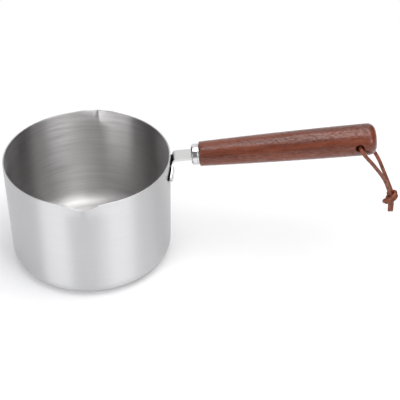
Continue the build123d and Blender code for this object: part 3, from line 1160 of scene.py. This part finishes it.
@dataclass
class WoodenHandle:
    """Turned handle that swells towards its rounded butt, with a cross hole for the loop.

    Args:
        axis: The handle's axis.
        length: Length, in millimetres, as are the sizes below.
        front: Radius where the wood meets the ferrule.
        middle: Radius half way.
        end: Radius at the butt.
        shoulder: Rounding of the front edge.
        bulge: How far the butt's face stands out.
        butt: Rounding of the butt's edge.
        spigot: Length and radius of the spigot inside the ferrule.
        insert_bore: Radius and end of the wide bore.
        stud_bore: Radius and end of the narrow bore.
        hole: Radius of the cross hole.
        hole_from_end: Distance of the cross hole from the butt.
        hole_round: Rounding of its mouths.
        hole_flats: Flats round the hole.
        shoulder_steps: Flats along the front edge's rounding.
        side_steps: Flats along the side.
        butt_steps: Flats along the butt's rounding.
        face_steps: Flats from there to the middle of the butt's face.
    """

    axis: HandleAxis
    length: float = 147.8
    front: float = 10.3
    middle: float = 12.45
    end: float = 13.4
    shoulder: float = 1.1
    bulge: float = 1.3
    butt: float = 7.0
    spigot: Pair = (4.5, 8.1)
    insert_bore: Pair = (4.55, 29.6)
    stud_bore: Pair = (3.3, 41.6)
    hole: float = 3.25
    hole_from_end: float = 15.2
    hole_round: float = 0.6
    hole_flats: int = 48
    shoulder_steps: int = 6
    side_steps: int = 40
    butt_steps: int = 16
    face_steps: int = 8

    def radius(self, along: float) -> float:
        """Find the radius of the side, through the three named radii.

        Args:
            along: Distance from the wood's start, in millimetres.

        Returns:
            The radius there.
        """
        share = along / self.length
        at_front = (share - 0.5) * (share - 1) * 2
        at_middle = -4 * share * (share - 1)
        at_end = share * (share - 0.5) * 2
        return self.front * at_front + self.middle * at_middle + self.end * at_end

    def profile(self) -> list[Pair]:
        """Draw the outline of the turned wood, from the end of its bore round to the middle of its butt.

        Returns:
            Distance along and radius of each point, in millimetres.
        """
        dome = (self.end**2 + self.bulge**2) / (2 * self.bulge)
        dome_centre = self.length - dome
        low = self.radius(self.length - self.butt) - self.butt
        centre = dome_centre + math.sqrt((dome - self.butt) ** 2 - low**2)
        lean = math.atan2(low, centre - dome_centre)
        line = [
            (self.stud_bore[1], 0.0),
            self.stud_bore[::-1],
            (self.insert_bore[1], self.stud_bore[0]),
            self.insert_bore[::-1],
            (-self.spigot[0], self.insert_bore[0]),
            (-self.spigot[0], self.spigot[1]),
            (0.0, self.spigot[1]),
        ]
        rise = self.radius(self.shoulder) - self.shoulder
        for step in range(self.shoulder_steps + 1):
            turn = math.pi - step / self.shoulder_steps * math.pi / 2
            along = self.shoulder + self.shoulder * math.cos(turn)
            line.append((along, rise + self.shoulder * math.sin(turn)))
        for step in range(1, self.side_steps):
            along = self.shoulder + (centre - self.shoulder) * step / self.side_steps
            line.append((along, self.radius(along)))
        for step in range(self.butt_steps + 1):
            turn = math.pi / 2 - step / self.butt_steps * (math.pi / 2 - lean)
            line.append((centre + self.butt * math.cos(turn), low + self.butt * math.sin(turn)))
        edge = math.asin(line[-1][1] / dome)
        for step in range(1, self.face_steps + 1):
            turn = edge * (1 - step / self.face_steps)
            line.append((dome_centre + dome * math.cos(turn), dome * math.sin(turn)))
        return line

    def build(self, material: Material) -> None:
        """Turn the handle and drill its cross hole.

        Args:
            material: Its finish.
        """
        piece = self.axis.turn("turned_handle", self.profile(), material)
        centre = self.axis.at((self.length - self.hole_from_end) * MM)
        reach, mouth, line = self.end + 2, self.end - 0.5, []
        # Distance from the axis of the handle, and how much wider than the hole the drill is there.
        stations = [
            (reach, self.hole_round * 2),
            (mouth + 0.2, self.hole_round),
            (mouth - 0.1, 0.25),
            (mouth - 0.5, 0.05),
            (mouth - 0.9, 0.0),
        ]
        for side in (-1, 1):
            ordered = stations if side < 0 else reversed(stations)
            line += [(side * away, self.hole + flare) for away, flare in ordered]
        points, count = [], self.hole_flats
        for away, radius in line:
            for column in range(count):
                turn = math.tau * column / count
                points.append(centre + Vector((radius * math.cos(turn), away, radius * math.sin(turn))) * MM)
        faces = grid_faces(len(line), count)
        faces.append(tuple(range(count)))
        faces.append(tuple((len(line) - 1) * count + column for column in range(count)))
        cut(piece, plain_mesh("drill", points, faces, material))
        seat(piece, PAN, "handle_wood", "wooden_handle")


@dataclass
class HangingLoop:
    """Leather cord through the cross hole, whose two strands hang to an overhand knot.

    Args:
        hole: Centre of the cross hole, in metres.
        diameter: Diameter of the cord, in millimetres.
        near: Route of the strand on the -Y side, in millimetres from the hole's centre.
        far: Route of the strand on the +Y side.
        knot_place: Centre of the knot, in millimetres from the hole's centre.
        knot_route: Middle of the doubled cord, from the knot's centre, and how far each strand lies from it.
        lengths: Lengths of the near and the far strand; not used.
    """

    hole: Vector
    diameter: float = 3.2
    near: tuple[Triple, ...] = (
        (0.8, 0, -0.8),
        (0.8, -7.0, -0.8),
        (0.9, -14.0, -1.0),
        (3.0, -16.5, -3.3),
        (5.7, -16.0, -7.0),
        (11.5, -13.9, -14.9),
        (18.2, -10.8, -25.0),
        (24.0, -7.6, -34.7),
        (28.5, -4.4, -45.1),
        (31.7, -1.8, -54.9),
    )
    far: tuple[Triple, ...] = (
        (0.8, 0, -0.8),
        (0.8, 7.0, -0.8),
        (0.9, 14.0, -1.0),
        (3.0, 16.5, -3.3),
        (5.9, 16.1, -6.9),
        (12.2, 13.9, -14.0),
        (18.2, 10.6, -21.2),
        (22.0, 8.6, -27.6),
        (24.7, 6.85, -33.8),
        (28.5, 4.5, -42.3),
        (31.6, 2.9, -49.2),
        (33.9, 1.9, -54.9),
    )
    knot_place: Triple = (33.2, 0.2, -59.4)
    knot_route: tuple[tuple[Triple, Triple], ...] = (
        ((-1.9, -0.4, 6.0), (0.9, 1.2, 0.4)),
        ((-0.9, 0.5, 2.5), (1.0, 1.2, 0.2)),
        ((0.6, 1.4, -1.5), (1.1, 0.9, 0.4)),
        ((-0.8, 2.4, -5.2), (0.2, 1.0, -1.2)),
        ((-4.0, 1.6, -6.0), (-0.7, 0.3, -1.3)),
        ((-5.0, -1.2, -4.2), (-0.7, -0.3, 1.3)),
        ((-2.6, -3.7, -2.0), (-0.8, 0.1, 1.2)),
        ((1.6, -3.7, 0.8), (-0.8, 0.1, 1.2)),
        ((4.2, -1.8, 2.9), (-0.5, 0.1, 1.3)),
        ((4.3, 1.4, 2.6), (-0.2, 0.3, 1.4)),
        ((2.0, 3.4, 1.2), (0.1, 0.4, 1.4)),
        ((-1.4, 2.8, 0.6), (0.6, 0.9, 1.0)),
        ((-1.8, 0.2, -1.6), (1.2, 0.5, 0.6)),
        ((0.3, -0.9, -4.2), (1.3, 0.6, 0.1)),
        ((1.0, -0.6, -8.0), (1.2, 1.1, 0.0)),
        ((1.1, -0.5, -12.0), (1.15, 1.15, 0.0)),
        ((1.2, -0.5, -14.9), (1.15, 1.15, -0.85)),
    )
    lengths: Pair = (78.6, 80.0)

    def spline(self, name: str, route: Sequence[Any], material: Material) -> Object:
        """Lay a round cord along a smooth line.

        Args:
            name: Name of the piece.
            route: Control points, in millimetres from the hole's centre.
            material: Its finish.

        Returns:
            The curve object.
        """
        curve = bpy.data.curves.new(name, "CURVE")
        curve.dimensions = "3D"
        line = curve.splines.new("NURBS")
        line.points.add(len(route) - 1)
        for point, place in zip(line.points, route):
            point.co = (*(self.hole + Vector(place) * MM), 1.0)
        line.order_u = 3
        line.use_endpoint_u = True
        line.resolution_u = 16
        curve.bevel_depth = self.diameter / 2 * MM
        curve.bevel_resolution = 7
        curve.use_fill_caps = True
        curve.materials.append(material)
        return new_piece(name, curve)

    def knot(self, material: Material) -> Object:
        """Tie the overhand knot of the doubled cord, with its two cut ends.

        Args:
            material: Its finish.

        Returns:
            The knot.
        """
        centre = Vector(self.knot_place)
        strands = []
        for side in (-1, 1):
            route = [centre + Vector(spot) + Vector(step) * side for spot, step in self.knot_route]
            strands.append(self.spline(f"knot_strand_{side}", route, material))
        graph = bpy.context.evaluated_depsgraph_get()
        points, faces = [], []
        for strand in strands:
            mesh = bpy.data.meshes.new_from_object(strand.evaluated_get(graph), depsgraph=graph)
            faces += [tuple(number + len(points) for number in face.vertices) for face in mesh.polygons]
            points += [tuple(point.co) for point in mesh.vertices]
            bpy.data.meshes.remove(mesh)
            bpy.data.objects.remove(strand)
        return plain_mesh("overhand_knot", points, faces, material)

    def build(self, material: Material) -> None:
        """Args:
            material: Finish of the leather.
        """
        knot = self.knot(material)
        seat(knot, LOOP, "loop_leather", "loop_knot")
        for name, route, node, length in (
            ("near_strand", self.near, "loop_near_strand", self.lengths[0]),
            ("far_strand", self.far, "loop_far_strand", self.lengths[1]),
        ):
            strand = self.spline(name, route, material)
            # A route's third point lies where the cord leaves the wood.
            seat(strand, LOOP, "loop_leather", node)


@dataclass(frozen=True)
class Lamp:
    """Soft rectangular lamp.

    Args:
        name: Its name.
        place: Where it hangs, in metres.
        aim: Point that it faces.
        size: Width and height, in metres.
        watts: Its power.
    """

    name: str
    place: Triple
    aim: Triple
    size: Pair
    watts: float

    def hang(self) -> None:
        """Hang the lamp and turn it to its aim."""
        light = bpy.data.lights.new(self.name, "AREA")
        light.shape, light.size, light.size_y, light.energy = "RECTANGLE", *self.size, self.watts
        lamp = new_piece(self.name, light)
        lamp.location = self.place
        lamp.rotation_euler = (Vector(self.aim) - Vector(self.place)).to_track_quat("-Z", "Y").to_euler()


@dataclass(frozen=True)
class Card:
    """Curved dim card that stands round the set and shows only in metal and gloss.

    Args:
        name: Its name.
        start: Direction of its left edge, in degrees from the camera's side.
        end: Direction of its right edge.
        top: Rise of its upper edge, in degrees.
        level: Its brightness.
        reach: Its distance, in metres.
    """

    name: str
    start: float
    end: float
    top: float
    level: float
    reach: float = 2.6

    def stand(self) -> None:
        """Stand the card on the floor, part of the stage."""
        material, tree = new_material(f"{self.name} card")
        glow = add_node(tree, "ShaderNodeEmission", {"Color": (self.level,) * 3 + (1.0,), "Strength": 1.0})
        add_node(tree, "ShaderNodeOutputMaterial", {"Surface": glow.outputs[0]})
        flats, points = 16, []
        for row in range(flats + 1):
            rise = math.radians(self.top * row / flats)
            for column in range(flats + 1):
                turn = math.radians(self.start + (self.end - self.start) * column / flats)
                spot = (math.cos(rise) * math.sin(turn), -math.cos(rise) * math.cos(turn), math.sin(rise))
                points.append(Vector(spot) * self.reach)
        faces = grid_faces(flats + 1, flats + 1, closed=False)
        panel = plain_mesh(f"{self.name}_card", points, faces, material)
        panel.visible_camera = panel.visible_diffuse = panel.visible_shadow = False
        panel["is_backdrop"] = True


@dataclass
class Studio:
    """White studio: pale floor, soft lamps, dim cards and the camera.

    Args:
        lens_mm: Focal length on a 36 mm frame.
        place: Where the camera stands, in millimetres.
        yaw: Turn of its view from +Y towards +X, in radians.
        dip: How far it looks down, in radians.
        room: Colour of the room's light.
        ground: Colour of the floor.
        fade: Where the floor fades to white: its middle along X, and from it the start and end, in metres.
        cards: The dim cards, which give the steel its darker bands.
        lamps: The soft lamps.
    """

    lens_mm: float = 103.7
    place: Triple = (75.84, -793.57, 644.33)
    yaw: float = 0.0237
    dip: float = 0.644
    room: str = "#C4C4C6"
    ground: str = "#F2F2F2"
    fade: Triple = (0.08, 0.2, 0.5)
    cards: tuple[Card, ...] = (
        Card("front", -20.0, 13.0, 65.0, 0.26),
        Card("left", -141.0, -64.0, 85.0, 0.12),
        Card("right", 64.0, 146.0, 85.0, 0.12),
    )
    lamps: tuple[Lamp, ...] = (
        Lamp("overhead", (0.35, -0.1, 1.3), (0.15, 0.0, 0.05), (1.15, 1.1), 10.6),
        Lamp("left_front", (-1.0, -1.1, 0.6), (0.0, 0.0, 0.06), (0.9, 1.0), 6.2),
        Lamp("right_front", (1.0, -1.15, 0.6), (0.0, 0.0, 0.06), (0.9, 1.0), 4.4),
    )

    def camera(self) -> None:
        """Set up the camera at the photograph's angle."""
        lens = bpy.data.cameras.new("camera")
        lens.lens, lens.sensor_width, lens.sensor_fit = self.lens_mm, 36.0, "HORIZONTAL"
        lens.clip_start, lens.clip_end = 0.01, 50.0
        camera = new_piece("camera", lens)
        ahead = Vector((
            math.sin(self.yaw) * math.cos(self.dip),
            math.cos(self.yaw) * math.cos(self.dip),
            -math.sin(self.dip),
        ))
        right = Vector((math.cos(self.yaw), -math.sin(self.yaw), 0))
        turn = Matrix((right, right.cross(ahead), -ahead)).transposed()
        camera.matrix_world = Matrix.Translation(Vector(self.place) * MM) @ turn.to_4x4()
        bpy.context.scene.camera = camera

    def seen(self, tree: NodeTree) -> NodeSocket:
        """Tell the rays that show the background from those that light the set.

        Args:
            tree: Node tree that gets the nodes.

        Returns:
            A share that is 1 for rays of the camera, of gloss and metal, and through glass.
        """
        path = add_node(tree, "ShaderNodeLightPath").outputs
        share = path["Is Camera Ray"]
        for ray in ("Is Glossy Ray", "Is Transmission Ray"):
            share = add_node(tree, "ShaderNodeMath", {0: share, 1: path[ray]}, operation="MAXIMUM").outputs[0]
        return share

    def world(self) -> None:
        """Light the room evenly; the camera, metal and gloss see it white."""
        world = bpy.data.worlds.new("studio")
        bpy.context.scene.world = world
        world.use_nodes = True
        tree = world.node_tree
        tree.nodes.clear()
        tones = {0: self.seen(tree), 6: linear(self.room), 7: WHITE}
        shown = add_node(tree, "ShaderNodeMix", tones, data_type="RGBA").outputs[2]
        back = add_node(tree, "ShaderNodeBackground", {"Color": shown, "Strength": 1.0})
        add_node(tree, "ShaderNodeOutputWorld", {"Surface": back.outputs[0]})

    def floor(self) -> None:
        """Lay the pale floor, which keeps the object's shadow and fades to white further out."""
        material, tree = new_material("white studio floor")
        seen = self.seen(tree)
        tones = {0: seen, 6: linear(self.ground), 7: WHITE}
        colour = add_node(tree, "ShaderNodeMix", tones, data_type="RGBA").outputs[2]
        place = add_node(tree, "ShaderNodeTexCoord").outputs["Object"]
        middle = {0: place, 1: (self.fade[0], 0.0, 0.0)}
        away = add_node(tree, "ShaderNodeVectorMath", middle, operation="DISTANCE").outputs["Value"]
        fade = {0: away, 1: self.fade[1], 2: self.fade[2]}
        far = add_node(tree, "ShaderNodeMapRange", fade, interpolation_type="SMOOTHSTEP").outputs[0]
        white = add_node(tree, "ShaderNodeMath", {0: far, 1: seen}, operation="MULTIPLY").outputs[0]
        dull = {"Base Color": colour, "Roughness": 1.0, "Specular IOR Level": 0.0}
        near_floor = add_node(tree, "ShaderNodeBsdfPrincipled", dull).outputs[0]
        far_floor = add_node(tree, "ShaderNodeEmission", {"Color": WHITE, "Strength": 1.0}).outputs[0]
        whole = add_node(tree, "ShaderNodeMixShader", {0: white, 1: near_floor, 2: far_floor}).outputs[0]
        add_node(tree, "ShaderNodeOutputMaterial", {"Surface": whole})
        # A hair below the pan's foot, so that the two don't share a plane.
        half, level = 4.0, -0.3 * MM
        points = [(x * half, y * half, level) for x, y in ((-1, -1), (1, -1), (1, 1), (-1, 1))]
        floor = plain_mesh("floor", points, [(0, 1, 2, 3)], material)
        floor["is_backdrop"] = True

    def build(self) -> None:
        """Set up the whole studio."""
        self.camera()
        self.world()
        self.floor()
        for card in self.cards:
            card.stand()
        for lamp in self.lamps:
            lamp.hang()


def corners() -> list[list[float]]:
    """Give both corners of the shown object's box, as plain lists."""
    return [[float(value) for value in corner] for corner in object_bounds()]


def main() -> None:
    """Build every sub-assembly in order and report it."""
    logging.basicConfig(level=logging.INFO, format="%(name)s: %(message)s")
    bpy.context.scene.view_settings.view_transform = "Standard"
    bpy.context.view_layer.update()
    Studio().build()
    axis = HandleAxis()
    pan = PanBody()
    vessel = pan.build(SPUN_STEEL.make(), SCOURED_STEEL.make())
    HandleBracket(axis, pan).build(vessel, SATIN_STEEL.make(), GAP_SHADE_STEEL.make())
    HandleFittings(axis).build(POLISHED_STEEL.make(), TURNED_STEEL.make(), TURNED_BRASS.make())
    handle = WoodenHandle(axis)
    handle.build(WoodFinish().make())
    HangingLoop(axis.at((handle.length - handle.hole_from_end) * MM)).build(LeatherFinish().make())


if __name__ == "__main__":
    main()
